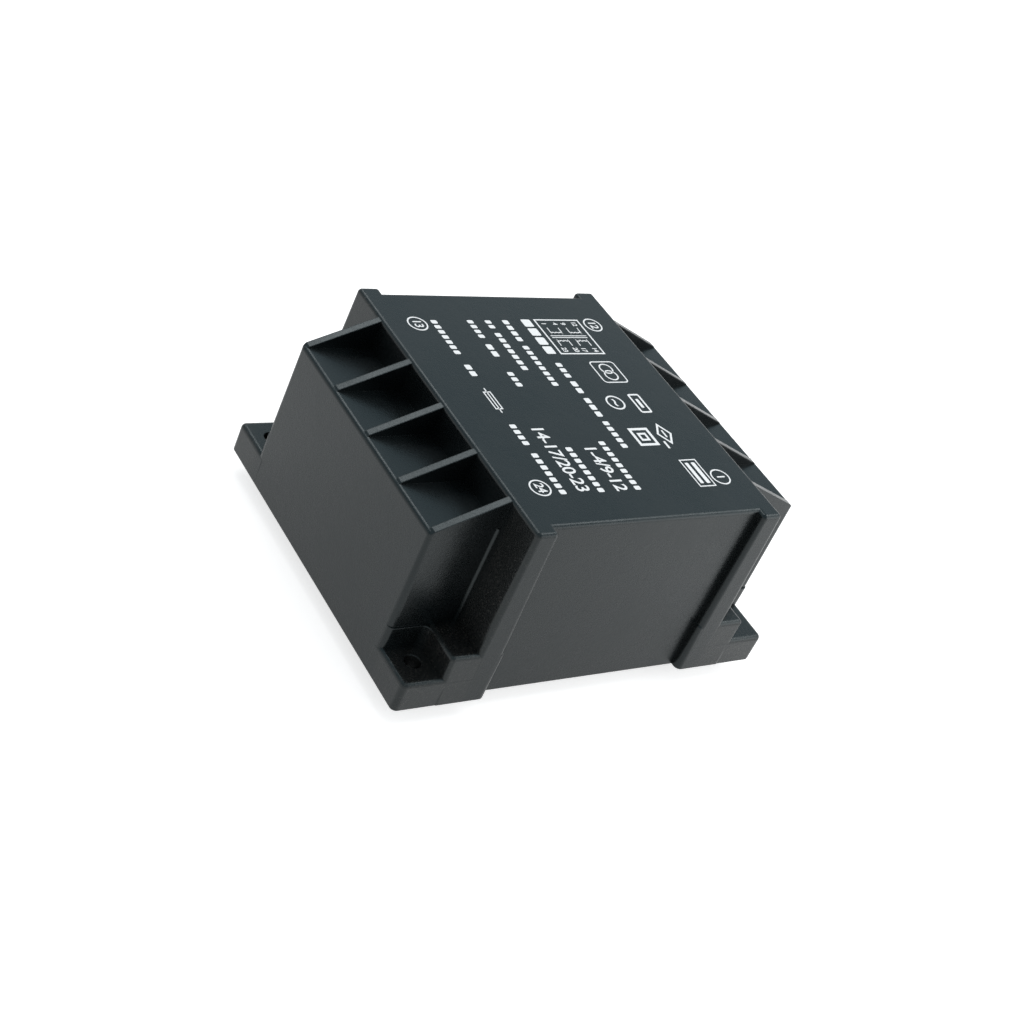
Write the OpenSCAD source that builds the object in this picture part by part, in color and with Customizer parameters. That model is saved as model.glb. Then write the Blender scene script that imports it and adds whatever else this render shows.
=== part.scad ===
// Low-profile potted mains transformer for a circuit board.
// X runs along the pin rows, Y from the secondary row to the primary row, Z up.
// The origin is the centre of the case's lower rim, on the board's surface.
// The laminations set the size: the formers fit the core, and the case fits both.

/* [Core] */
// Width of a lamination's leg, which is the width of its yokes and window too
leg_w = 16; // [15:0.5:18]
// Height of the stack of laminations
stack_h = 17; // [12:0.5:22]

/* [Coil formers] */
// Clearance between a leg and its former
former_gap = 0.2; // [0.1:0.05:0.3]
// Thickness of a former's tube and flanges
former_t = 1.2; // [0.8:0.1:1.5]
// Clearance between the flanges of the two formers
coil_gap = 1.8; // [1:0.1:3]
// Corner radius of the flanges and of the windings
coil_r = 1.5; // [1:0.1:2]
// Corner radius of a former's tube
tube_r = 0.5; // [0.3:0.1:1]
// Height of a former's underside above the board
former_z = 3.9; // [3.5:0.1:6]
// Height of a former's pin rail
rail_h = 4.6; // [3:0.1:5]
// Distance from a row of pins to the outer face of its rail
rail_out = 0.9; // [0.8:0.1:2]

/* [Windings] */
// Thickness of the tape round a winding
tape_t = 0.4; // [0.2:0.1:0.5]
// Height of a flange above the tape
flange_lip = 0.3; // [0.1:0.1:0.5]
// Wire diameter of a primary lead-out
primary_wire = 0.5; // [0.3:0.1:0.8]
// Wire diameter of a secondary lead-out
secondary_wire = 1; // [0.6:0.1:1.1]
// Distance from an end flange to a lead-out
lead_in = 1.8; // [1.2:0.1:3]
// Depth of a lead-out's run below its pin rail
lead_drop = 0.75; // [0.6:0.05:1]
// Length of a lead-out inside its winding
lead_root = 1; // [0.8:0.1:2]
// Clearance between a pin's corners and the bore of the turns round it
turns_gap = 0.04; // [0.02:0.01:0.1]

/* [Pins] */
// Distance between neighbouring pin positions
pin_pitch = 5; // [4.5:0.1:5.5]
// Distance from the window's end out to a row of pins
pin_set_out = 1; // [0.5:0.1:2]
// Diameter of a pin's round end
pin_d = 1; // [0.6:0.1:1.1]
// Width of a pin's square anchor, round which its wire is wound
anchor_w = 0.8; // [0.6:0.1:1]
// Height above the board at which a pin's anchor starts
anchor_z = 0.4; // [0.1:0.1:0.5]
// Length of a pin below the board's surface
pin_out = 4; // [2.5:0.5:6]
// Length of a pin's tapered tip
pin_tip = 0.3; // [0.1:0.1:0.6]
// Room beside a row's end pins for their wire
pin_room = 2.25; // [1.8:0.05:4]

/* [Case] */
// Thickness of the side walls at the roof
wall = 1.2; // [0.8:0.1:1.5]
// Thickness of the roofs
roof_t = 1.5; // [1:0.1:2]
// How far the side walls lean out from the roof down to the board, to leave the mould
lean = 0.75; // [0.4:0.05:1]
// Radius of the top edges
edge_r = 0.85; // [0.4:0.05:1]
// How far the end walls lean out in the same way
end_lean = 0.15; // [0.1:0.05:0.5]
// Radius of the upright corners at the board
corner_r = 1.2; // [1:0.1:1.5]
// Radius of the inner edges between the end boxes and the middle block
fillet_r = 0.5; // [0.3:0.05:1]
// Radius of the cavity's corners
cavity_r = 0.6; // [0.3:0.1:1]
// Clearance between the coils and the middle block's side walls
coil_side_gap = 0.4; // [0.1:0.05:1]
// Clearance between the coils and the middle block's roof
coil_roof_gap = 1.8; // [1:0.1:4]
// Clearance between the pin rails and the middle block's end walls
rail_gap = 0.9; // [0.2:0.1:1.5]
// Clearance between the yokes and the end boxes' side walls
core_side_gap = 0.4; // [0.1:0.05:1]
// Clearance between the yokes and the end boxes' outer walls
core_end_gap = 0.8; // [0.3:0.1:2]
// Clearance between the yokes and the end boxes' roofs
core_roof_gap = 2.5; // [1:0.1:4]

/* [End recesses] */
// Depth of the recess in each end face
recess_depth = 1.8; // [1:0.1:2.5]
// Width of the posts beside the recess, at the roof
post_w = 4.6; // [3:0.1:7]

/* [Gussets] */
// Number of gussets on each end box
gusset_count = 5; // [2:1:7]
// Thickness of a gusset
gusset_t = 1.4; // [0.8:0.1:2]
// Height of a gusset's outer tip above the end box's roof
gusset_tip = 0.25; // [0.1:0.05:1]

/* [Fixing lugs] */
// Distance from a fixing hole's axis to the side of the foot
hole_side = 5.25; // [4:0.05:5.5]
// Distance from a fixing hole's axis to the end of the foot
hole_end = 4.5; // [3.5:0.1:5]
// Diameter of the fixing holes
hole_d = 3.3; // [2.8:0.1:4.2]
// Height of the screw head's seat above the board
seat_h = 6.2; // [3:0.1:9]
// Height of the step beside the seat above the board
step_h = 11.3; // [10:0.1:16]
// Room for the screw head from the hole's axis to the step
head_room = 3.5; // [3:0.1:3.8]
// Width of the ledge between a seat and the end box
ledge_w = 0.3; // [0.2:0.05:0.8]
// Radius of the seat's inner corner
seat_r = 1.5; // [0.8:0.1:2]
// Radius of the foot's outer corners
foot_r = 1.1; // [1.1:0.1:3]
// Setback of a lug from the side of the foot
lug_inset = 0.1; // [0:0.05:0.3]

/* [Potting] */
// Depth of the resin's surface below the case's lower rim
resin_gap = 0.8; // [0.6:0.1:1.2]

/* [Hidden] */
$fn = 48;
eps = 0.01;
facets = 24;

// Core: the window is three legs long, and the yokes close it
window_l = 3 * leg_w;
core_w = 3 * leg_w;
yoke_y = window_l / 2;
core_end_y = yoke_y + leg_w;

// Coil formers: the two coils share the window, and reach as far out of the core
flange_over = (leg_w - coil_gap) / 2;
flange_w = leg_w + 2 * flange_over;
flange_h = stack_h + 2 * flange_over;
wrap_w = flange_w - 2 * flange_lip;
wrap_h = flange_h - 2 * flange_lip;
coil_w = wrap_w - 2 * tape_t;
coil_h = wrap_h - 2 * tape_t;
tube_w = leg_w + 2 * (former_gap + former_t);
tube_h = stack_h + 2 * (former_gap + former_t);
former_l = window_l - 2 * former_gap;
chamber_l = (former_l - 3 * former_t) / 2;
core_mid_z = former_z + flange_h / 2;
core_z = core_mid_z - stack_h / 2;

// Pins: position 1 is at the +X end of the +Y row, and the numbers run round the case
pin_count = 12;
row_pitch = window_l + 2 * pin_set_out;
row_l = (pin_count - 1) * pin_pitch;
pin_top = former_z + rail_h;
rail_end_x = max(leg_w + flange_w / 2, row_l / 2 + anchor_w);
rail_end_y = row_pitch / 2 + rail_out;

// Lead-outs: the turns round a pin clear its corners, and are a little taller than the wire
turns_d = anchor_w * sqrt(2) + turns_gap;
lead_y = former_l / 2 - former_t - lead_in;
lead_z = former_z - lead_drop;
turns_h = 1.9;
turns_below = 1.3;

// Case: the cavity holds the coils and the pins' wire, and the end boxes hold the yokes
cavity_w = max(2 * leg_w + flange_w, row_l + 2 * pin_room) + 2 * coil_side_gap;
cavity_d = 2 * (rail_end_y + rail_gap);
box_cavity_w = core_w + 2 * core_side_gap;
box_cavity_d = 2 * (core_end_y + core_end_gap);
block_w = cavity_w + 2 * wall;
body_w = block_w + 2 * recess_depth;
body_d = cavity_d + 2 * wall;
body_h = former_z + flange_h + coil_roof_gap + roof_t;
box_w = box_cavity_w + 2 * wall;
box_h = core_z + stack_h + core_roof_gap + roof_t;
foot_w = body_w + 2 * lean;
foot_d = box_cavity_d + 2 * wall;
slope = lean / body_h;
post_y = body_d / 2 - post_w / 2;
step_in_y = post_y - post_w / 2 - lean;
end_slope = end_lean / box_h;

// A fillet cuts this far into the walls that it joins
fillet_bite = 0.02;

// Fixing lugs
hole_pitch_x = foot_w - 2 * hole_side;
hole_pitch_y = foot_d - 2 * hole_end;
seat_x = box_w / 2 + slope * (box_h - step_h) + ledge_w;
seat_y = hole_pitch_y / 2 - head_room;

function pin_x(n) = n <= pin_count ? row_l / 2 - (n - 1) * pin_pitch
    : (n - pin_count - 1) * pin_pitch - row_l / 2;
function pin_y(n) = n <= pin_count ? row_pitch / 2 : -row_pitch / 2;

// ---- shared shapes ----

// Flat rectangle with rounded corners, centred on the origin
module rounded_rect(w, d, r) {
    square([w - 2 * r, d], center = true);
    square([w, d - 2 * r], center = true);
    for (sx = [-1, 1], sy = [-1, 1])
        translate([sx * (w / 2 - r), sy * (d / 2 - r)]) circle(r);
}

// Block on the board with sloping sides and a rounded roof; w and d are its roof's size
module moulded_block(w, d, h, slope_x, slope_y, r_foot) {
    hull() for (sx = [-1, 1], sy = [-1, 1]) {
        translate([sx * (w / 2 - edge_r), sy * (d / 2 - edge_r), h - edge_r])
            sphere(edge_r, $fn = facets);
        translate([sx * (w / 2 + slope_x * h - r_foot), sy * (d / 2 + slope_y * h - r_foot), 0])
            cylinder(h = eps, r = r_foot, $fn = facets);
    }
}

// Plate on the board with upright sides, rounded corners and a rounded top edge
module rounded_plate(w, d, h, r) {
    hull() for (sx = [-1, 1], sy = [-1, 1], a = [0 : 22.5 : 90])
        translate([sx * (w / 2 - r), sy * (d / 2 - r), 0])
            cylinder(h = h - edge_r * (1 - sin(a)), r = r - edge_r * (1 - cos(a)), $fn = facets);
}

module both_ends() {
    children();
    mirror([0, 1, 0]) children();
}

module four_corners() {
    both_ends() {
        children();
        mirror([1, 0, 0]) children();
    }
}

// ---- case ----

// Triangular rib from the middle block's roof edge down to the end box's outer edge
module gusset() {
    out_y = foot_d / 2 - end_lean;
    translate([-gusset_t / 2, 0, 0]) rotate([90, 0, 90]) linear_extrude(gusset_t) polygon([
        [body_d / 2 - edge_r, box_h - roof_t],
        [body_d / 2 - edge_r, body_h],
        [body_d / 2, body_h - edge_r / 2],
        [out_y - edge_r, box_h + gusset_tip],
        [out_y - edge_r / 4, box_h - edge_r / 2],
        [out_y - edge_r / 4, box_h - roof_t]
    ]);
}

// The outer gussets are flush with the end box's sides, and share its rounded corners
module gussets() {
    reach = box_w - gusset_t;
    intersection() {
        for (i = [0 : gusset_count - 1])
            translate([reach * (i / (gusset_count - 1) - 0.5), 0, 0]) gusset();
        linear_extrude(body_h + edge_r) rounded_rect(box_w, foot_d - 2 * end_lean, edge_r);
    }
}

// Hollow for the core, the coils and the resin, open at the board, which follows the steps too
module cavity(floor_z) {
    step_y = [step_in_y + wall, seat_y - wall];
    translate([0, 0, floor_z]) {
        linear_extrude(body_h - roof_t - floor_z) rounded_rect(cavity_w, cavity_d, cavity_r);
        linear_extrude(box_h - roof_t - floor_z)
            rounded_rect(box_cavity_w, box_cavity_d, cavity_r);
        both_ends() linear_extrude(step_h - wall - floor_z)
            translate([0, (step_y[0] + step_y[1]) / 2])
            rounded_rect(foot_w - 2 * (lug_inset + wall), step_y[1] - step_y[0], cavity_r);
    }
}

// Step that stands between a seat and the case; its outer face runs on from the post's
module lug_step() {
    step_d = seat_y - step_in_y;
    translate([0, step_in_y + step_d / 2, 0])
        moulded_block(foot_w - 2 * slope * step_h, step_d, step_h, slope, 0, corner_r);
}

// Ledge along the end box, and the rounded inner corner of the seat
module lug_ledge() {
    linear_extrude(step_h - edge_r / 2) {
        intersection() {
            rounded_rect(2 * seat_x, foot_d - 2 * end_slope * step_h, corner_r);
            translate([box_w / 4, seat_y]) square(foot_w);
        }
        translate([seat_x - seat_r, seat_y - seat_r]) difference() {
            square(2 * seat_r);
            translate([2 * seat_r, 2 * seat_r]) circle(seat_r);
        }
    }
}

// Rounded inner edge between the middle block's end wall and the end box's side wall
module inner_fillet() {
    fillet_h = box_h - step_h / 2;
    translate([box_w / 2, body_d / 2 + slope * (body_h - box_h), box_h])
        rotate([atan(slope), -atan(slope), 0]) translate([0, 0, -fillet_h])
        linear_extrude(fillet_h) difference() {
            translate([-wall / 2, -wall / 2]) square(fillet_r + wall / 2);
            translate([fillet_r, fillet_r]) circle(fillet_r + fillet_bite);
        }
}

module case_outside() {
    moulded_block(block_w, body_d, body_h, slope, slope, corner_r);
    both_ends() translate([0, post_y, 0])
        moulded_block(body_w, post_w, body_h, slope, slope, corner_r);
    moulded_block(box_w, foot_d - 2 * end_lean, box_h, slope, end_slope, corner_r);
    both_ends() gussets();
    difference() {
        rounded_plate(foot_w - 2 * lug_inset, foot_d, seat_h, foot_r);
        cube([2 * foot_w, 2 * (step_in_y + corner_r), 3 * seat_h], center = true);
        cube([box_w - 2 * corner_r, 2 * foot_d, 3 * seat_h], center = true);
    }
    both_ends() lug_step();
    four_corners() lug_ledge();
    four_corners() inner_fillet();
}

module case() {
    color([0.09, 0.09, 0.10]) difference() {
        case_outside();
        cavity(-eps);
        four_corners() translate([hole_pitch_x / 2, hole_pitch_y / 2, -eps])
            cylinder(h = step_h, d = hole_d);
    }
}

// ---- core ----

module core_u() {
    color([0.42, 0.43, 0.45]) translate([0, 0, core_z]) linear_extrude(stack_h) difference() {
        translate([-core_w / 2, -core_end_y]) square([core_w, core_end_y + yoke_y]);
        translate([-leg_w / 2, -yoke_y]) square([leg_w, window_l + leg_w]);
    }
}

module core_i() {
    color([0.42, 0.43, 0.45]) translate([-core_w / 2, yoke_y, core_z])
        cube([core_w, leg_w, stack_h]);
}

// ---- coil formers: side is -1 for the leg at -X and 1 for the leg at +X ----

module across(l, y) {
    translate([0, y + l / 2, core_mid_z]) rotate([90, 0, 0]) linear_extrude(l) children();
}

module flange(y) {
    across(former_t, y) rounded_rect(flange_w, flange_h, coil_r);
}

// Rail under a yoke, from the gap between the formers to past the end pin
module pin_rail(side) {
    in_y = former_l / 2 - former_t;
    rail_w = rail_end_x - coil_gap / 2;
    translate([side * ((rail_end_x + coil_gap / 2) / 2 - leg_w) - rail_w / 2, in_y, former_z])
        cube([rail_w, rail_end_y - in_y, rail_h]);
}

// Former before its pin holes are made
module bobbin_body(side) {
    translate([side * leg_w, 0, 0]) difference() {
        union() {
            across(former_l, 0) rounded_rect(tube_w, tube_h, tube_r);
            flange(0);
            both_ends() {
                flange((former_l - former_t) / 2);
                pin_rail(side);
            }
        }
        across(window_l, 0) square([leg_w + 2 * former_gap, stack_h + 2 * former_gap],
            center = true);
    }
}

module bobbin(side) {
    difference() {
        bobbin_body(side);
        for (n = [1 : 2 * pin_count]) anchor(n);
    }
}

module bobbin_left() {
    color([0.80, 0.76, 0.66]) bobbin(-1);
}

module bobbin_right() {
    color([0.80, 0.76, 0.66]) bobbin(1);
}

// ---- windings: row is 1 for the primary's pin row and -1 for the secondary's ----

// Wire from the underside of a winding, round a bend and along to its pin
module lead(n, wire) {
    row = sign(pin_y(n));
    rise = former_z + flange_lip + tape_t + lead_root - lead_z - wire;
    run = row_pitch / 2 - lead_y - wire - turns_d / 2;
    translate([pin_x(n), row * lead_y, lead_z]) {
        translate([0, 0, wire]) cylinder(h = rise, d = wire);
        translate([0, row * wire, wire]) rotate([0, 90, row > 0 ? 180 : 0])
            rotate_extrude(angle = 90) translate([wire, 0]) circle(d = wire);
        translate([0, row * wire, 0]) rotate([-row * 90, 0, 0]) cylinder(h = run, d = wire);
    }
    translate([pin_x(n), pin_y(n), lead_z - turns_below * wire])
        cylinder(h = turns_h * wire, d = turns_d + 2 * wire);
}

// Lead-outs with their turns still solid
module leads(pins, wire) {
    for (n = pins) lead(n, wire);
}

module chamber(side, row, w_out, h_out, w_in, h_in, r_out, r_in) {
    translate([side * leg_w, 0, 0]) across(chamber_l, row * (chamber_l + former_t) / 2)
        difference() {
            rounded_rect(w_out, h_out, r_out);
            rounded_rect(w_in, h_in, r_in);
        }
}

module winding(side, row, pins, wire) {
    chamber(side, row, coil_w, coil_h, tube_w, tube_h, coil_r, tube_r);
    difference() {
        leads(pins, wire);
        for (n = pins) translate([pin_x(n), pin_y(n), 0]) cylinder(h = former_z, d = turns_d);
    }
}

module tape(side, row, pins, wire) {
    difference() {
        chamber(side, row, wrap_w, wrap_h, coil_w, coil_h, coil_r + tape_t, coil_r);
        leads(pins, wire);
    }
}

pins_left_primary = [9, 12];
pins_right_primary = [1, 4];
pins_left_secondary = [14, 17];
pins_right_secondary = [20, 23];

module primary_left() {
    color([0.72, 0.38, 0.20]) winding(-1, 1, pins_left_primary, primary_wire);
}

module primary_right() {
    color([0.72, 0.38, 0.20]) winding(1, 1, pins_right_primary, primary_wire);
}

module secondary_left() {
    color([0.78, 0.45, 0.25]) winding(-1, -1, pins_left_secondary, secondary_wire);
}

module secondary_right() {
    color([0.78, 0.45, 0.25]) winding(1, -1, pins_right_secondary, secondary_wire);
}

module primary_tape_left() {
    color([0.93, 0.85, 0.35]) tape(-1, 1, pins_left_primary, primary_wire);
}

module primary_tape_right() {
    color([0.93, 0.85, 0.35]) tape(1, 1, pins_right_primary, primary_wire);
}

module secondary_tape_left() {
    color([0.93, 0.85, 0.35]) tape(-1, -1, pins_left_secondary, secondary_wire);
}

module secondary_tape_right() {
    color([0.93, 0.85, 0.35]) tape(1, -1, pins_right_secondary, secondary_wire);
}

// ---- pins ----

// Square part of a pin, pressed into its rail
module anchor(n) {
    translate([pin_x(n) - anchor_w / 2, pin_y(n) - anchor_w / 2, anchor_z])
        cube([anchor_w, anchor_w, pin_top - anchor_z]);
}

module pin(n) {
    color([0.80, 0.80, 0.78]) {
        translate([pin_x(n), pin_y(n), -pin_out]) {
            cylinder(h = pin_tip, d1 = pin_d / 2, d2 = pin_d);
            translate([0, 0, pin_tip]) cylinder(h = pin_out + anchor_z - pin_tip, d = pin_d);
        }
        anchor(n);
    }
}

// ---- resin ----

module potting() {
    color([0.12, 0.12, 0.13]) difference() {
        cavity(resin_gap);
        core_u();
        core_i();
        bobbin_body(-1);
        bobbin_body(1);
        for (side = [-1, 1], row = [-1, 1])
            chamber(side, row, wrap_w, wrap_h, tube_w, tube_h, coil_r + tape_t, tube_r);
        leads(concat(pins_left_primary, pins_right_primary), primary_wire);
        leads(concat(pins_left_secondary, pins_right_secondary), secondary_wire);
        for (n = [1, 4, 9, 12, 14, 17, 20, 23]) pin(n);
    }
}

case();
potting();
core_u();
core_i();
bobbin_left();
bobbin_right();
primary_left();
primary_right();
secondary_left();
secondary_right();
primary_tape_left();
primary_tape_right();
secondary_tape_left();
secondary_tape_right();
pin(1);  // pin_1
pin(4);  // pin_4
pin(9);  // pin_9
pin(12);  // pin_12
pin(14);  // pin_14
pin(17);  // pin_17
pin(20);  // pin_20
pin(23);  // pin_23
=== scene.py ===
# %% [markdown]
# # A potted transformer for a circuit board
# The object is a mains transformer cast in resin inside one black moulded case. Its shape
# is all in the CAD model, so this lesson is about finish: how to make black plastic look
# like black plastic, how to lay printed ink on a roof, how to finish the cast resin and the
# pins below, and how to light a dark object on a white table.
#
# The frame is loaded first. It gives the box of every part in metres, and every place in
# this lesson is worked out from those boxes.

# %% Load the frame
import math
import bpy
from mathutils import Matrix, Vector


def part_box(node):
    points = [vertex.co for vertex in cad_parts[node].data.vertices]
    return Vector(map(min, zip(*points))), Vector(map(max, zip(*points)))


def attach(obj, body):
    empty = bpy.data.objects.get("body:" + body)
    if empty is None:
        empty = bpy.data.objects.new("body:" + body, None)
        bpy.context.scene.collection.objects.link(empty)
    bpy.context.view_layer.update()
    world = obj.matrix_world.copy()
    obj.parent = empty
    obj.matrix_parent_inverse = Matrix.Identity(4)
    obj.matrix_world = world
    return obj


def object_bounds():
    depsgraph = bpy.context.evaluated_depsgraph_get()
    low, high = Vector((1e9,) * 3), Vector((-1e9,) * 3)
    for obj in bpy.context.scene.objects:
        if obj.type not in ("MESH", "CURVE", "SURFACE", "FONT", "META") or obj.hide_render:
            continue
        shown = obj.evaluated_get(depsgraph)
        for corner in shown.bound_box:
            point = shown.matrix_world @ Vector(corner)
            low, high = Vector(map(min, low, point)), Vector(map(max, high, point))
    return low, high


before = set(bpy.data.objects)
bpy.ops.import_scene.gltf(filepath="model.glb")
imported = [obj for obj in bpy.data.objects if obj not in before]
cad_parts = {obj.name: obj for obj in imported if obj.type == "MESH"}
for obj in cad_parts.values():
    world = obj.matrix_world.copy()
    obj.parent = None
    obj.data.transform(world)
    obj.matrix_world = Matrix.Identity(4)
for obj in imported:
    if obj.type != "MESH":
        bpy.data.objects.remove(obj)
cad_low, cad_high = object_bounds()
MM = 0.001
body = "root"
case_low, case_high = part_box("case")
roof_z = case_high[2]
print("case", [round((b - a) / MM, 2) for a, b in zip(case_low, case_high)], "mm")

# %% [markdown]
# ## Helpers for node trees
# A material here is a small tree of nodes. The same few moves come back in every finish: add
# a node with its settings, read a noise from the place on the object, stretch a value from
# one range to another, mix two colours, and stack bumps. Each move gets a short name, so
# that the finishes below read like recipes.

# %% Node helpers
def new_material(name):
    material = bpy.data.materials.new(name)
    material.use_nodes = True
    tree = material.node_tree
    return material, tree, tree.nodes["Principled BSDF"]


def add(tree, kind, inputs=None, **settings):
    node = tree.nodes.new(kind)
    for key, value in settings.items():
        setattr(node, key, value)
    for key, value in (inputs or {}).items():
        feed(tree, value, node.inputs[key])
    return node


def feed(tree, value, socket):
    """Links an output to a socket, or sets a plain number or colour on it."""
    if isinstance(value, bpy.types.NodeSocket):
        tree.links.new(value, socket)
    else:
        socket.default_value = value


def place(tree):
    return add(tree, "ShaderNodeTexCoord").outputs["Object"]


def noise(tree, scale, detail=3.0, roughness=0.5):
    settings = {"Vector": place(tree), "Scale": scale, "Detail": detail, "Roughness": roughness}
    return add(tree, "ShaderNodeTexNoise", settings).outputs["Fac"]


def ramp(tree, value, low, high, out_low=0.0, out_high=1.0):
    settings = {"Value": value, "From Min": low, "From Max": high}
    settings.update({"To Min": out_low, "To Max": out_high})
    return add(tree, "ShaderNodeMapRange", settings).outputs["Result"]


def work_out(tree, operation, a, b):
    return add(tree, "ShaderNodeMath", {0: a, 1: b}, operation=operation).outputs[0]


def mix_colour(tree, factor, a, b):
    return add(tree, "ShaderNodeMix", {0: factor, 6: a, 7: b}, data_type="RGBA").outputs[2]


def mottle(tree, value, low, high, first, second):
    """Goes from the first colour to the second while the value goes from low to high."""
    return mix_colour(tree, ramp(tree, value, low, high), first, second)


def grain(tree, shader, layers, normal=None):
    """Stacks bumps, the coarsest first: each layer is a height, its strength and its depth."""
    for height, strength, depth in layers:
        settings = {"Height": height, "Strength": strength, "Distance": depth}
        bump = add(tree, "ShaderNodeBump", settings)
        if normal is not None:
            feed(tree, normal, bump.inputs["Normal"])
        normal = bump.outputs["Normal"]
    feed(tree, normal, shader.inputs["Normal"])


def dress(node, material):
    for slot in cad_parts[node].material_slots:
        slot.material = material


print("helpers ready")

# %% [markdown]
# ## Black moulded plastic
# The case is glass-filled nylon, black right through. Black plastic sends back almost no
# light of its own: what the eye sees is the room, mirrored softly by a satin skin. So the
# colour is written very dark, and the look comes from roughness. The steel mould was
# spark-eroded, which leaves a fine grain, and the melt cooled unevenly, which leaves cloudy
# patches that are a little duller.
#
# Two masks come first. Handling has worn the outer edges paler, and the bevel node finds them:
# where the rounded normal turns away from the true one, there is an edge. The paler edge is
# part wear and part painted highlight, a bright line laid into the colour. Inner edges turn
# it too, so the ambient occlusion node, which reads how open the air is, leaves them out.
# The other mask is for the dust that gathers in the four corner notches, and it is read
# from the place on the case alone. Both masks fade in, as dirt and wear have no hard edge.

# %% Masks of the outer edges and of the notches
edge_round = 0.30 * MM
notch_x, notch_y = 26.2 * MM, 27.0 * MM
fade_x, fade_y = 1.5 * MM, 1.0 * MM


def softened(tree, radius):
    """A normal that rounds the outer edges, and a mask of those edges."""
    reach = {"Distance": 2 * radius}
    true_way = add(tree, "ShaderNodeNewGeometry").outputs["Normal"]
    soft_way = add(tree, "ShaderNodeBevel", {"Radius": radius}, samples=6).outputs["Normal"]
    open_air = add(tree, "ShaderNodeAmbientOcclusion", reach, samples=6).outputs["AO"]
    outer = ramp(tree, open_air, 0.72, 0.92)
    ways = {0: true_way, 1: soft_way}
    match = add(tree, "ShaderNodeVectorMath", ways, operation="DOT_PRODUCT").outputs["Value"]
    edge = work_out(tree, "MULTIPLY", ramp(tree, match, 0.98, 0.80), outer)
    blend = {0: outer, 4: true_way, 5: soft_way}
    return add(tree, "ShaderNodeMix", blend, data_type="VECTOR").outputs[1], edge


def in_corners(tree):
    """One in the four corner notches, beside the end boxes, and nought on the rest of the case."""
    spot = add(tree, "ShaderNodeSeparateXYZ", {0: place(tree)}).outputs
    beside = ramp(tree, work_out(tree, "ABSOLUTE", spot["X"], 0), notch_x, notch_x + fade_x)
    beyond = ramp(tree, work_out(tree, "ABSOLUTE", spot["Y"], 0), notch_y, notch_y + fade_y)
    return work_out(tree, "MULTIPLY", beside, beyond)


print("edges rounded by", round(edge_round / MM, 2), "mm")

# %% [markdown]
# The plastic is then mixed like paint: the pigment in two depths, dust and lint over it, and
# the pale edges last, which are part wear and part painted highlight. Four noises, each finer
# than the one before, are shared by the colour, the roughness and the grain, so that a dull
# cloud is also a slightly paler one.

# %% Black plastic
pigment_deep, pigment_light = (0.0026, 0.0038, 0.0043, 1), (0.0046, 0.0060, 0.0064, 1)
dust_grey, lint_brown = (0.030, 0.031, 0.031, 1), (0.040, 0.037, 0.034, 1)
# The pale edge colour is partly wear and partly a painted highlight along the outer edges.
worn_and_highlight_grey = (0.028, 0.030, 0.031, 1)


def black_plastic():
    material, tree, shader = new_material("case_black")
    cloud = noise(tree, 70.0, 4.0, 0.6)
    patch = noise(tree, 420.0, 3.0, 0.6)
    speck = noise(tree, 2600.0, 2.0, 0.7)
    fine = noise(tree, 7000.0, 2.0, 0.5)
    soft_way, edge = softened(tree, edge_round)
    pigment = mottle(tree, cloud, 0.35, 0.70, pigment_deep, pigment_light)
    dust = ramp(tree, speck, 0.70, 0.80, 0.0, 0.5)
    pigment = mix_colour(tree, dust, pigment, dust_grey)
    lint = work_out(tree, "MULTIPLY", in_corners(tree), ramp(tree, speck, 0.56, 0.70, 0.15, 0.9))
    pigment = mix_colour(tree, lint, pigment, lint_brown)
    # The outer edges turn paler: part wear, part painted highlight.
    wear_and_highlight = work_out(tree, "MULTIPLY", edge, ramp(tree, patch, 0.35, 0.65, 0.3, 0.8))
    feed(tree, mix_colour(tree, wear_and_highlight, pigment, worn_and_highlight_grey), shader.inputs["Base Color"])
    cloudy = ramp(tree, cloud, 0.3, 0.7, 0.23, 0.34)
    grainy = ramp(tree, speck, 0.3, 0.7, -0.04, 0.05)
    feed(tree, work_out(tree, "ADD", cloudy, grainy), shader.inputs["Roughness"])
    shader.inputs["IOR"].default_value = 1.45
    shader.inputs["Specular IOR Level"].default_value = 0.42
    shader.inputs["Specular Tint"].default_value = (0.88, 0.98, 1.0, 1)
    coarse_layers = [(cloud, 0.18, 0.30 * MM), (patch, 0.20, 0.10 * MM)]
    fine_layers = [(speck, 0.40, 0.05 * MM), (fine, 0.25, 0.02 * MM)]
    grain(tree, shader, coarse_layers + fine_layers, soft_way)
    return material


dress("case", black_plastic())
print("dressed the case")

# %% [markdown]
# ## Cast resin
# The case was filled from below with thin black resin, which levelled itself and set glossy.
# It has long soft waves where it shrank over the coils, and a few dull spots of dust.

# %% Resin material
resin_deep, resin_pale = (0.009, 0.009, 0.010, 1), (0.016, 0.016, 0.018, 1)


def resin_black():
    material, tree, shader = new_material("resin_black")
    wave = noise(tree, 60.0, 2.0, 0.4)
    blot = noise(tree, 160.0, 3.0, 0.6)
    speck = noise(tree, 900.0, 2.0, 0.5)
    feed(tree, mottle(tree, wave, 0.3, 0.7, resin_deep, resin_pale), shader.inputs["Base Color"])
    blotchy = ramp(tree, blot, 0.35, 0.65, 0.08, 0.30)
    dusty = ramp(tree, speck, 0.62, 0.72, 0.0, 0.25)
    feed(tree, work_out(tree, "ADD", blotchy, dusty), shader.inputs["Roughness"])
    grain(tree, shader, [(wave, 0.9, 1.2 * MM), (speck, 0.25, 0.08 * MM)])
    return material


resin = resin_black()
dress("potting", resin)
print("dressed the resin")

# %% [markdown]
# ## What the resin hides
# Inside are the core of thin steel sheets, two coils of enamelled copper on pale formers, and
# yellow tape over each winding. The sheets and the turns are far too many to model, so
# a wave texture draws them as stripes, a millimetre apart up the stack and a little closer
# along the windings. On the wire, the darker stripes are painted shade in the grooves
# between the turns.

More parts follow.
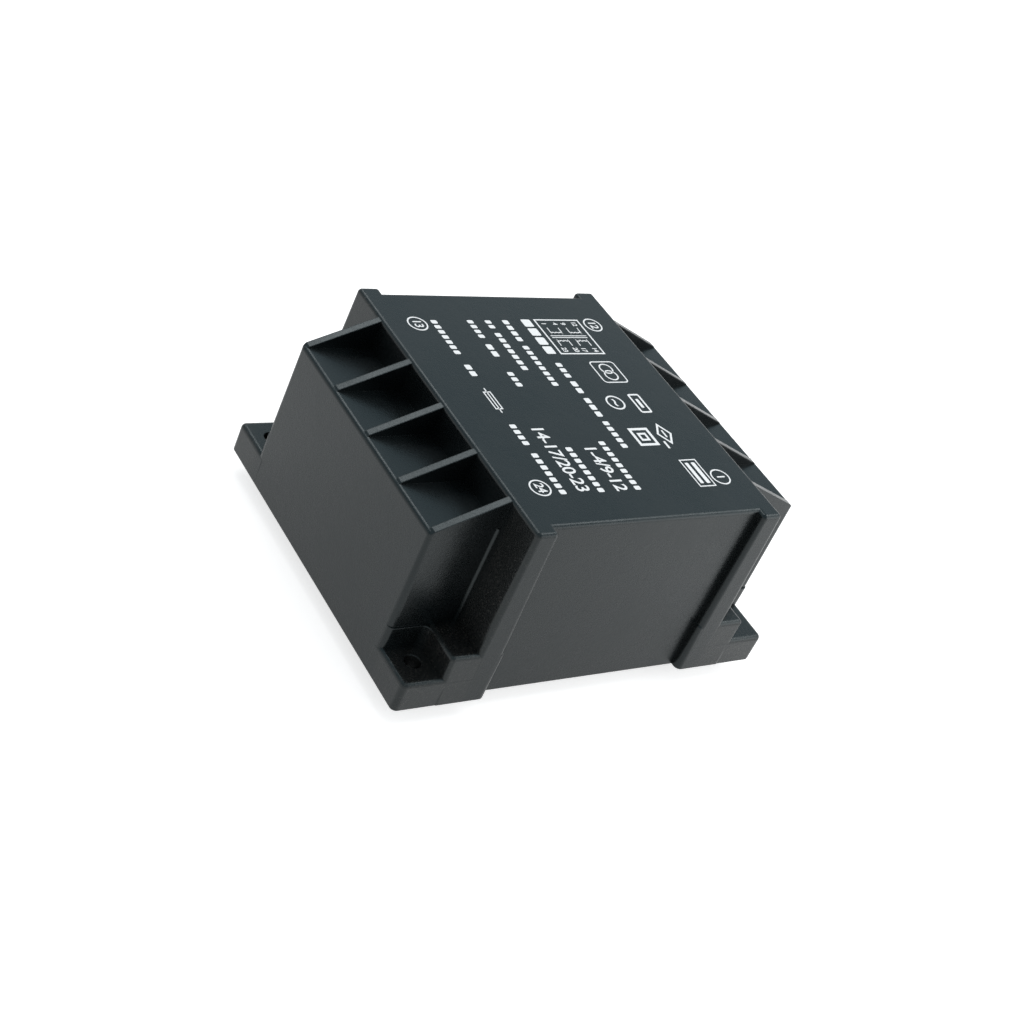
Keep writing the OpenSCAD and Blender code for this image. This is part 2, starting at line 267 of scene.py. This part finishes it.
# %% Steel and wire, drawn as stripes
steel_gap, steel_face = (0.10, 0.10, 0.11, 1), (0.42, 0.43, 0.45, 1)
# The darker wire colour is painted shade in the grooves between turns.
enamel_groove_shade, enamel_top = (0.30, 0.10, 0.04, 1), (0.72, 0.38, 0.20, 1)
sheet_pitch, turn_pitch = 1.0, 0.8


def stripes(tree, pitch_mm, axis, distortion):
    settings = {"Vector": place(tree), "Scale": math.pi / (10.0 * pitch_mm * MM)}
    settings.update({"Distortion": distortion, "Detail": 1.0})
    return add(tree, "ShaderNodeTexWave", settings, bands_direction=axis).outputs["Fac"]


def laminations():
    material, tree, shader = new_material("silicon_steel")
    sheet = stripes(tree, sheet_pitch, "Z", 0.4)
    feed(tree, mottle(tree, sheet, 0.1, 0.5, steel_gap, steel_face), shader.inputs["Base Color"])
    shader.inputs["Metallic"].default_value = 0.9
    feed(tree, ramp(tree, noise(tree, 200.0), 0.3, 0.7, 0.30, 0.50), shader.inputs["Roughness"])
    grain(tree, shader, [(sheet, 0.5, 0.1 * MM)])
    return material


def copper_wire():
    material, tree, shader = new_material("enamelled_wire")
    turn = stripes(tree, turn_pitch, "Y", 0.2)
    # The darker stripes are painted shade in the grooves between turns.
    feed(tree, mottle(tree, turn, 0.1, 0.6, enamel_groove_shade, enamel_top), shader.inputs["Base Color"])
    shader.inputs["Metallic"].default_value = 0.8
    feed(tree, ramp(tree, noise(tree, 900.0), 0.3, 0.7, 0.22, 0.34), shader.inputs["Roughness"])
    grain(tree, shader, [(turn, 0.7, 0.2 * MM)])
    return material


print("mixed the steel and the wire")

# %% [markdown]
# The formers are of a cream plastic and the tape is a polyester film. Neither is drawn in
# stripes: a soft mottle in the colour and a faint grain are enough.

# %% Formers and tape
cream_deep, cream_pale = (0.74, 0.70, 0.58, 1), (0.84, 0.80, 0.70, 1)
yellow_deep, yellow_pale = (0.86, 0.74, 0.22, 1), (0.95, 0.86, 0.36, 1)


def former_plastic():
    material, tree, shader = new_material("former_cream")
    speck = noise(tree, 3000.0)
    cream = mottle(tree, noise(tree, 150.0), 0.3, 0.7, cream_deep, cream_pale)
    feed(tree, cream, shader.inputs["Base Color"])
    feed(tree, ramp(tree, speck, 0.3, 0.7, 0.40, 0.55), shader.inputs["Roughness"])
    grain(tree, shader, [(speck, 0.3, 0.04 * MM)])
    return material


def polyester_tape():
    material, tree, shader = new_material("tape_yellow")
    cloud = noise(tree, 400.0)
    yellow = mottle(tree, cloud, 0.3, 0.7, yellow_deep, yellow_pale)
    feed(tree, yellow, shader.inputs["Base Color"])
    feed(tree, ramp(tree, cloud, 0.3, 0.7, 0.18, 0.30), shader.inputs["Roughness"])
    grain(tree, shader, [(cloud, 0.4, 0.1 * MM)])
    return material


print("mixed the former plastic and the tape")

# %% [markdown]
# ## Tinned pins
# The pins are copper-plated steel wire, dipped in tin. Tin is bright but never quite even: it
# runs thick and thin, and it dulls where flux has dried.

# %% Pin material, and dressing the nodes
tin_bright, tin_dull = (0.80, 0.80, 0.78, 1), (0.58, 0.58, 0.55, 1)


def tinned_wire():
    material, tree, shader = new_material("tinned_pin")
    drag = noise(tree, 1500.0)
    dull = noise(tree, 500.0, 2.0)
    feed(tree, mottle(tree, dull, 0.35, 0.7, tin_bright, tin_dull), shader.inputs["Base Color"])
    shader.inputs["Metallic"].default_value = 1.0
    feed(tree, ramp(tree, drag, 0.3, 0.7, 0.20, 0.38), shader.inputs["Roughness"])
    grain(tree, shader, [(drag, 0.4, 0.06 * MM)])
    return material


finishes = {"core": laminations(), "bobbin": former_plastic(), "pin": tinned_wire()}
wire, tape = copper_wire(), polyester_tape()
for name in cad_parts:
    start = name.split("_")[0]
    if start in finishes:
        dress(name, finishes[start])
    elif "tape" in name:
        dress(name, tape)
    elif start in ("primary", "secondary"):
        dress(name, wire)
print("dressed", len(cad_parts), "nodes")

# %% [markdown]
# ## Printed ink
# The roof carries a pad-printed panel in white. Ink has a real, if tiny, thickness, and it
# stands on the plastic rather than in it, so each mark is a thin raised piece and not
# a pattern in the case's material. The ink starts a hair inside the roof, so that no two
# faces lie in the same plane.
#
# `at` turns millimetres on the roof into a point, and four small tools draw the panel: a
# rounded bar, a ring, an open frame, and a number. A copy always has its own mesh, and all
# the marks of one group are joined into one piece.

# %% Ink, copies and groups
ink_t = 0.04 * MM
ink_root = 0.01 * MM
line = 0.30
cap_share = 0.72


def at(x, y):
    return Vector((x * MM, y * MM, roof_z - ink_root))


def deselect():
    bpy.ops.object.select_all(action="DESELECT")


def bake_place(piece):
    deselect()
    piece.select_set(True)
    bpy.context.view_layer.objects.active = piece
    bpy.ops.object.transform_apply(location=True, rotation=True, scale=True)
    return piece


def copied(piece, move):
    """A copy with its own mesh, moved by a matrix."""
    twin = piece.copy()
    twin.data = piece.data.copy()
    bpy.context.collection.objects.link(twin)
    twin.matrix_world = move
    return bake_place(twin)


def joined(name, pieces):
    deselect()
    for piece in pieces:
        piece.select_set(True)
    bpy.context.view_layer.objects.active = pieces[0]
    bpy.ops.object.join()
    piece = bpy.context.object
    piece.name = name
    print(name, len(piece.data.polygons), "faces")
    return piece


print("ink", round(ink_t / MM, 3), "mm thick")

# %% [markdown]
# A bar and a frame both start as a plane of the right size, and a bevel of its vertices
# rounds its corners. A ring starts as a disc. A frame and a ring are then inset, and the
# face in the middle is deleted. All three end with their flat face pulled up by the ink's
# thickness.

# %% Bar, frame and ring
def flat_plate(left, right, foot, top):
    """A flat rectangle, left in edit mode with all of it selected."""
    deselect()
    middle = at((left + right) / 2, (foot + top) / 2)
    bpy.ops.mesh.primitive_plane_add(size=1.0, location=middle)
    piece = bpy.context.object
    piece.scale = ((right - left) * MM, (top - foot) * MM, 1)
    bake_place(piece)
    bpy.ops.object.mode_set(mode="EDIT")
    bpy.ops.mesh.select_all(action="SELECT")
    return piece


def flat_ring(x, y, across, width, sides, stretch=1.0):
    """A flat ring, left in edit mode. A stretch widens it about its own middle."""
    deselect()
    outer = {"vertices": sides, "radius": across / 2 * MM, "fill_type": "NGON"}
    bpy.ops.mesh.primitive_circle_add(location=at(x, y), **outer)
    piece = bake_place(bpy.context.object)
    piece.scale.x = stretch
    piece.location.x = x * MM * (1 - stretch)
    bake_place(piece)
    bpy.ops.object.mode_set(mode="EDIT")
    hollow(width)
    return piece


def hollow(width):
    """In edit mode: insets the one face and deletes its middle."""
    bpy.ops.mesh.select_all(action="SELECT")
    bpy.ops.mesh.inset(thickness=width * MM)
    bpy.ops.mesh.delete(type="FACE")


def raise_ink():
    """In edit mode: pulls the flat face up by the ink's thickness and turns the skin outward."""
    bpy.ops.mesh.select_all(action="SELECT")
    bpy.ops.mesh.extrude_region_move(TRANSFORM_OT_translate={"value": (0, 0, ink_t)})
    bpy.ops.mesh.select_all(action="SELECT")
    bpy.ops.mesh.normals_make_consistent(inside=False)
    bpy.ops.object.mode_set(mode="OBJECT")


def bar(left, right, foot, top, corner=0.2):
    piece = flat_plate(left, right, foot, top)
    bpy.ops.mesh.bevel(offset=corner * MM, segments=3, affect="VERTICES")
    raise_ink()
    return piece


def ring(x, y, across, width=line, sides=48, stretch=1.0):
    piece = flat_ring(x, y, across, width, sides, stretch)
    raise_ink()
    return piece


def open_frame(left, right, foot, top, width=line, corner=0.0):
    piece = flat_plate(left, right, foot, top)
    if corner > width:
        bpy.ops.mesh.bevel(offset=corner * MM, segments=5, affect="VERTICES")
    hollow(width)
    raise_ink()
    return piece


print("bars, frames and rings ready; a line is", line, "mm wide")

# %% [markdown]
# A number is a text object made into a mesh. Its size is that of a whole line of type, of
# which a figure takes about seven tenths, and a slight offset makes its strokes as heavy as
# the lines beside it.

# %% Numbers
def number(words, x, y, height, spacing=1.0):
    deselect()
    bpy.ops.object.text_add(location=at(x, y) + Vector((0, 0, ink_t / 2)))
    piece = bpy.context.object
    piece.data.body = words
    piece.data.size = height / cap_share * MM
    piece.data.space_character = spacing
    piece.data.align_x, piece.data.align_y = "CENTER", "CENTER"
    piece.data.extrude = ink_t / 2
    piece.data.offset = 0.018 * height * MM
    bpy.ops.object.convert(target="MESH")
    return bake_place(bpy.context.object)


print("numbers ready")

# %% [markdown]
# White ink is slightly thin in places, where the pad lifted early, and it's duller than the
# plastic under it. One material serves the whole panel.

# %% Ink material
ink_full, ink_thin = (0.90, 0.92, 0.93, 1), (0.45, 0.47, 0.48, 1)


def white_ink():
    material, tree, shader = new_material("print_white")
    thin = noise(tree, 1600.0, 3.0, 0.6)
    lifted = ramp(tree, thin, 0.58, 0.75, 0.0, 0.35)
    feed(tree, mix_colour(tree, lifted, ink_full, ink_thin), shader.inputs["Base Color"])
    feed(tree, ramp(tree, thin, 0.3, 0.7, 0.45, 0.62), shader.inputs["Roughness"])
    grain(tree, shader, [(thin, 0.3, 0.03 * MM)])
    return material


ink = white_ink()


def print_on(piece):
    piece.data.materials.clear()
    piece.data.materials.append(ink)
    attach(piece, body)


print("ink mixed")

# %% [markdown]
# ### Ringed numbers
# A number in a ring stands over each end of the two pin rows, so that a fitter can tell from
# above which pin is which: 1 and 12 on the mains side, 13 and 24 on the other.

# %% Ringed numbers
ring_x, ring_y = 23.1, 20.8
ring_across, figure_h = 4.2, 1.9
marked_pins = {"1": (1, 1), "12": (-1, 1), "13": (-1, -1), "24": (1, -1)}
rings = []
for words, (side, end) in marked_pins.items():
    rings.append(ring(side * ring_x, end * ring_y, ring_across))
    rings.append(number(words, side * ring_x, end * ring_y, figure_h, 0.9))
print_on(joined("print_pin_numbers", rings))

# %% [markdown]
# ### Rows of print
# The ratings are plain rows, set as small blocks with a gap between words: they give the
# panel its texture and weight, and they say nothing. A word is its space on the row, cut
# into as many equal blocks as it would have letters. Four large blocks stand under the
# diagram's square, as a caption would. The two groups of pin numbers are real, because they
# belong to the pins below: one group for each side.

# %% Rows of blocks and pin groups
row_pitch, lowest_row = 4.15, -17.5
block_h, letter_pitch, block_gap = 1.35, 1.55, 0.5
caption_left, caption_foot, caption_step, caption_w, caption_h = -24.7, 3.7, 2.85, 2.3, 2.2
group_h, group_lift = 2.75, 1.15
rows = [
    (0, [(-24.2, -13.9), (-10.7, -7.4), (6.4, 12.0), (14.3, 25.0)]),
    (2, [(-24.3, -18.8), (-16.8, -13.1), (-8.4, -4.2), (13.1, 25.1)]),
    (3, [(-24.3, -21.8), (-20.3, -9.0)]),
    (4, [(-24.4, -17.8), (-16.3, -4.2), (11.9, 25.1)]),
    (5.1, [(-11.0, -6.6), (-5.4, -1.9), (-0.4, 5.0), (6.4, 13.9)]),
]


def word(left, right, foot):
    count = max(1, round((right - left) / letter_pitch))
    width = (right - left - (count - 1) * block_gap) / count
    starts = [left + i * (width + block_gap) for i in range(count)]
    return [bar(x, x + width, foot, foot + block_h, 0.25) for x in starts]


blocks = []
for step, words in rows:
    for left, right in words:
        blocks += word(left, right, lowest_row + step * row_pitch)
for i in range(4):
    left = caption_left + i * caption_step
    blocks.append(bar(left, left + caption_w, caption_foot, caption_foot + caption_h, 0.3))
print_on(joined("print_rows", blocks))

group_y = lowest_row + group_lift
groups = [number("14-17/20-23", 15.9, group_y + row_pitch, group_h, 0.95)]
groups.append(number("1-4/9-12", 19.0, group_y + 3 * row_pitch, group_h, 0.95))
print_on(joined("print_pin_groups", groups))

# %% [markdown]
# ### Fuse mark
# A fuse belongs in the wiring outside, so the usual fuse mark, a wire through a box, stands
# between two words of the lowest row.

# %% Fuse mark
fuse_y = lowest_row + 0.6
fuse_half, fuse_wire_half = 0.85, 0.13
box = open_frame(-2.9, 2.1, fuse_y - fuse_half, fuse_y + fuse_half, 0.26)
fuse_wire = bar(-3.9, 3.1, fuse_y - fuse_wire_half, fuse_y + fuse_wire_half, 0.1)
print_on(joined("print_fuse", [box, fuse_wire]))

# %% [markdown]
# ### Winding diagram
# The square in the corner shows how the coils are wired: two primaries on one side of the
# core's bars, two secondaries on the other. One bump of a winding is a flat ring cut in half
# by bisect. Three bumps and two leads make a winding, and the other three windings are
# copies of it, turned round the square's centre or moved along the core.

# %% Winding diagram
square = (-24.8, -13.7, 6.9, 17.9)
mid_x, mid_y = (square[0] + square[1]) / 2, (square[2] + square[3]) / 2
bump_d, bump_line = 1.15, 0.24
bump_step = bump_d - bump_line
winding_x, winding_y = mid_x - 0.95, mid_y + 2.35
lead_l, lead_half = 1.9, 0.11


def half_ring(x, y):
    piece = flat_ring(x, y, bump_d, bump_line, 24)
    bpy.ops.mesh.select_all(action="SELECT")
    bpy.ops.mesh.bisect(plane_co=at(x, y), plane_no=(-1, 0, 0), clear_inner=True)
    raise_ink()
    return piece


def lead(y):
    return bar(winding_x - lead_l, winding_x + 0.1, y - lead_half, y + lead_half, 0.05)


bumps = [half_ring(winding_x, winding_y + i * bump_step) for i in (-1, 0, 1)]
leads = [lead(winding_y + s * 1.5 * bump_step) for s in (-1, 1)]
winding = joined("winding", bumps + leads)

centre = Vector((mid_x * MM, mid_y * MM, 0))
half_turn = Matrix.Rotation(math.pi, 4, "Z")
across_core = Matrix.Translation(centre) @ half_turn @ Matrix.Translation(-centre)
along_core = Matrix.Translation((0, 2 * (winding_y - mid_y) * MM, 0))
moves = [along_core.inverted(), across_core, along_core @ across_core]
windings = [winding] + [copied(winding, move) for move in moves]
print(len(windings), "windings")

# %% [markdown]
# Two bars stand for the core, and each winding's ends have the numbers of their pins.

# %% Core bars and pin marks
bar_x, bar_half, bar_inset = 0.28, 0.1, 1.1
mark_x, mark_h = 4.15, 1.15
marks = {-1: {"12": 3.75, "9": 1.0, "4": -1.0, "1": -3.75},
         1: {"14": 3.75, "17": 1.0, "20": -1.0, "23": -3.75}}
core_bars, ends = [], []
for side in (-1, 1):
    middle = mid_x + side * bar_x
    span = (square[2] + bar_inset, square[3] - bar_inset)
    core_bars.append(bar(middle - bar_half, middle + bar_half, *span, 0.05))
for side, words_up in marks.items():
    for words, up in words_up.items():
        ends.append(number(words, mid_x + side * mark_x, mid_y + up, mark_h, 0.85))
print_on(joined("print_diagram", [open_frame(*square, 0.34)] + windings + core_bars + ends))

# %% [markdown]
# ### Symbols
# A few plain symbols fill the rest of the panel: two linked rings in a frame for
# a transformer, a wave in a ring for alternating current, a square in a square for double
# insulation, a diamond, and two small framed fields.

# %% Symbols
linked_rings = [open_frame(-11.4, -4.8, 11.9, 18.0, 0.28, 0.9)]
linked_rings += [ring(x, 14.95, 3.1, 0.3) for x in (-9.1, -7.1)]
wave_in_ring = [ring(1.1, 10.5, 4.1, 0.36), number("~", 1.1, 10.5, 2.6)]
slot_field = [open_frame(-1.3, 4.3, 14.8, 17.6, 0.42, 0.5), bar(0.2, 2.8, 15.85, 16.55, 0.2)]
squares = [open_frame(8.6, 13.6, 8.2, 12.9, 0.62), open_frame(10.0, 12.2, 9.5, 11.6, 0.5)]
diamond = [ring(10.5, 16.0, 3.6, 0.42, 4, 1.7)]
diamond += [bar(9.5, 11.5, 15.8, 16.2, 0.1), bar(12.6, 14.6, 14.2, 14.7, 0.15)]
lined_field = [open_frame(17.9, 25.4, 14.2, 18.2, 0.26)]
lined_field += [bar(18.8, 24.5, 16.5, 17.4, 0.2), bar(18.8, 24.5, 15.0, 15.8, 0.2)]
symbols = linked_rings + wave_in_ring + slot_field + squares + diamond + lined_field
print_on(joined("print_symbols", symbols))

# %% [markdown]
# ## Resin collars
# Thin resin climbs a little along every pin before it sets, and leaves a small hollow-sided
# cone round it. A collar is a disc that starts just inside the resin and is drawn out in
# three narrowing steps.

# %% One collar
resin_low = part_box("potting")[0][2]
disc_r, disc_in = 1.5, 0.15
collar_steps = [(0.97, 0.10), (0.72, 0.30), (0.60, 0.62)]


def collar(x, y):
    deselect()
    where = (x, y, resin_low + disc_in * MM)
    disc = {"vertices": 32, "radius": disc_r * MM, "fill_type": "NGON"}
    bpy.ops.mesh.primitive_circle_add(location=where, **disc)
    piece = bake_place(bpy.context.object)
    bpy.ops.object.mode_set(mode="EDIT")
    bpy.ops.mesh.select_all(action="SELECT")
    reach, drop = disc_r, -disc_in
    for radius, depth in collar_steps:
        down = {"value": (0, 0, -(depth - drop) * MM)}
        bpy.ops.mesh.extrude_region_move(TRANSFORM_OT_translate=down)
        shrink = (radius / reach, radius / reach, 1)
        bpy.ops.transform.resize(value=shrink, center_override=(x, y, resin_low))
        reach, drop = radius, depth
    bpy.ops.mesh.select_all(action="SELECT")
    bpy.ops.mesh.normals_make_consistent(inside=False)
    bpy.ops.object.mode_set(mode="OBJECT")
    bpy.ops.object.shade_smooth_by_angle(angle=math.radians(60))
    return piece


print("a collar reaches", collar_steps[-1][1], "mm out of the resin")

# %% [markdown]
# One collar is made round the first pin, and the others are copies of it, moved to their
# pins. The pins' places come from their boxes.

# %% Collars round the pins
pins = [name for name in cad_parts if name.startswith("pin_")]
places = []
for name in pins:
    low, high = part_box(name)
    places.append(Vector(((low[0] + high[0]) / 2, (low[1] + high[1]) / 2, 0)))
collars = [collar(places[0].x, places[0].y)]
for spot in places[1:]:
    collars.append(copied(collars[0], Matrix.Translation(spot - places[0])))
for name, piece in zip(pins, collars):
    piece.name = "collar_" + name
    piece.data.materials.append(resin)
    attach(piece, body)
print("made", len(collars), "collars")

# %% [markdown]
# ## White table and light
# A dark glossy thing is lit by what it mirrors. The table and the room are white to the
# camera and pale to every mirrored ray, and they light the object at a plain level, so that
# a colour renders about as it's written. The table also has a plain matt part, which keeps
# the object's shadow.

# %% Table
wall_white, ceiling_blue = (1, 1, 1, 1), (0.52, 0.69, 0.77, 1)
table_grey, table_share, table_glow = (0.72, 0.72, 0.72, 1), 0.85, 0.68


def seen_white(tree, mirrored_share=1.0):
    """One for a camera ray, a share for a mirrored or clear ray, and nought for others."""
    paths = add(tree, "ShaderNodeLightPath").outputs
    mirrored = work_out(tree, "MAXIMUM", paths["Is Glossy Ray"], paths["Is Transmission Ray"])
    mirrored = work_out(tree, "MULTIPLY", mirrored, mirrored_share)
    return work_out(tree, "MAXIMUM", paths["Is Camera Ray"], mirrored)


floor_z = cad_low[2]
deselect()
bpy.ops.mesh.primitive_plane_add(size=6.0, location=(0, 0, floor_z))
floor = bpy.context.object
floor.name = "floor"
table, tree, shader = new_material("table_white")
shader.inputs["Base Color"].default_value = table_grey
shader.inputs["Roughness"].default_value = 0.9
shader.inputs["Emission Color"].default_value = wall_white
glow = work_out(tree, "MULTIPLY", seen_white(tree, table_share), table_glow)
feed(tree, glow, shader.inputs["Emission Strength"])
floor.data.materials.append(table)
print("table at", round(floor_z / MM, 2), "mm")

# %% [markdown]
# A mirrored ray that goes out level finds the room white, and one that goes up finds it
# a pale blue, which gives the roof its cool tone. Every other ray but the camera's finds
# a plain, weaker light.

# %% Room
room_light, room_strength = (0.94, 0.98, 1.0, 1), 0.60
room = bpy.data.worlds.new("studio")
bpy.context.scene.world = room
room.use_nodes = True
tree = room.node_tree
plain = tree.nodes["Background"]
plain.inputs["Color"].default_value = room_light
plain.inputs["Strength"].default_value = room_strength
way_out = add(tree, "ShaderNodeTexCoord").outputs["Generated"]
height = add(tree, "ShaderNodeSeparateXYZ", {0: way_out}).outputs["Z"]
backdrop = mottle(tree, height, 0.05, 0.50, wall_white, ceiling_blue)
straight = add(tree, "ShaderNodeLightPath").outputs["Is Camera Ray"]
backdrop = mix_colour(tree, straight, backdrop, wall_white)
seen = add(tree, "ShaderNodeBackground", {"Color": backdrop, "Strength": 1.0})
share = {0: seen_white(tree), 1: plain.outputs[0], 2: seen.outputs[0]}
both = add(tree, "ShaderNodeMixShader", share)
feed(tree, both.outputs[0], tree.nodes["World Output"].inputs["Surface"])
print("room", room.name)

# %% [markdown]
# Two wide soft boxes stand high on the far sides and light the roof, and a small one stands
# low by the right-hand corner. They give the edges their bright lines: a rounded edge mirrors
# a wide slice of the room, so it catches a lamp that the flat face beside it misses.

# %% Soft boxes
def toward(azimuth, elevation):
    """The direction from the object, from two angles in degrees."""
    azimuth, elevation = math.radians(azimuth), math.radians(elevation)
    level = math.cos(elevation)
    return Vector((level * math.cos(azimuth), level * math.sin(azimuth), math.sin(elevation)))


def softbox(name, size, azimuth, elevation, distance, power):
    spot = distance * toward(azimuth, elevation)
    bpy.ops.object.light_add(type="AREA", location=spot)
    lamp = bpy.context.object
    lamp.name = name
    lamp.data.shape = "SQUARE"
    lamp.data.size = size
    lamp.data.energy = power
    lamp.rotation_euler = spot.to_track_quat("Z", "Y").to_euler()
    print(name, "at", [round(part, 3) for part in spot], "m")


softbox("key", size=0.30, azimuth=180, elevation=54, distance=0.7, power=1.1)
softbox("fill", size=0.30, azimuth=85, elevation=53, distance=0.7, power=1.2)
softbox("side", size=0.12, azimuth=43, elevation=22, distance=0.20, power=0.10)

# %% [markdown]
# ## Camera
# The camera stands a third of a metre away, above the case's near corner, and leans to one
# side, so that the rows of print run down across the frame.

# %% Camera
def camera(azimuth, elevation, roll, distance, aim, lens):
    away = toward(azimuth, elevation)
    bpy.ops.object.camera_add(location=aim * MM + distance * MM * away)
    eye = bpy.context.object
    turn = Matrix.Rotation(math.radians(roll), 3, "Z")
    facing = (-away).to_track_quat("-Z", "Y").to_matrix() @ turn
    eye.rotation_euler = facing.to_euler()
    eye.data.lens = lens
    eye.data.sensor_width = 36.0
    eye.data.clip_start = 0.01
    bpy.context.scene.camera = eye
    print("camera at", [round(part, 3) for part in eye.location], "m")


aim_point = Vector((7.018, -7.803, 17.78))
camera(azimuth=-45.887, elevation=33.83, roll=25.794, distance=323.8, aim=aim_point, lens=61.627)
bpy.context.scene.view_settings.view_transform = "Standard"
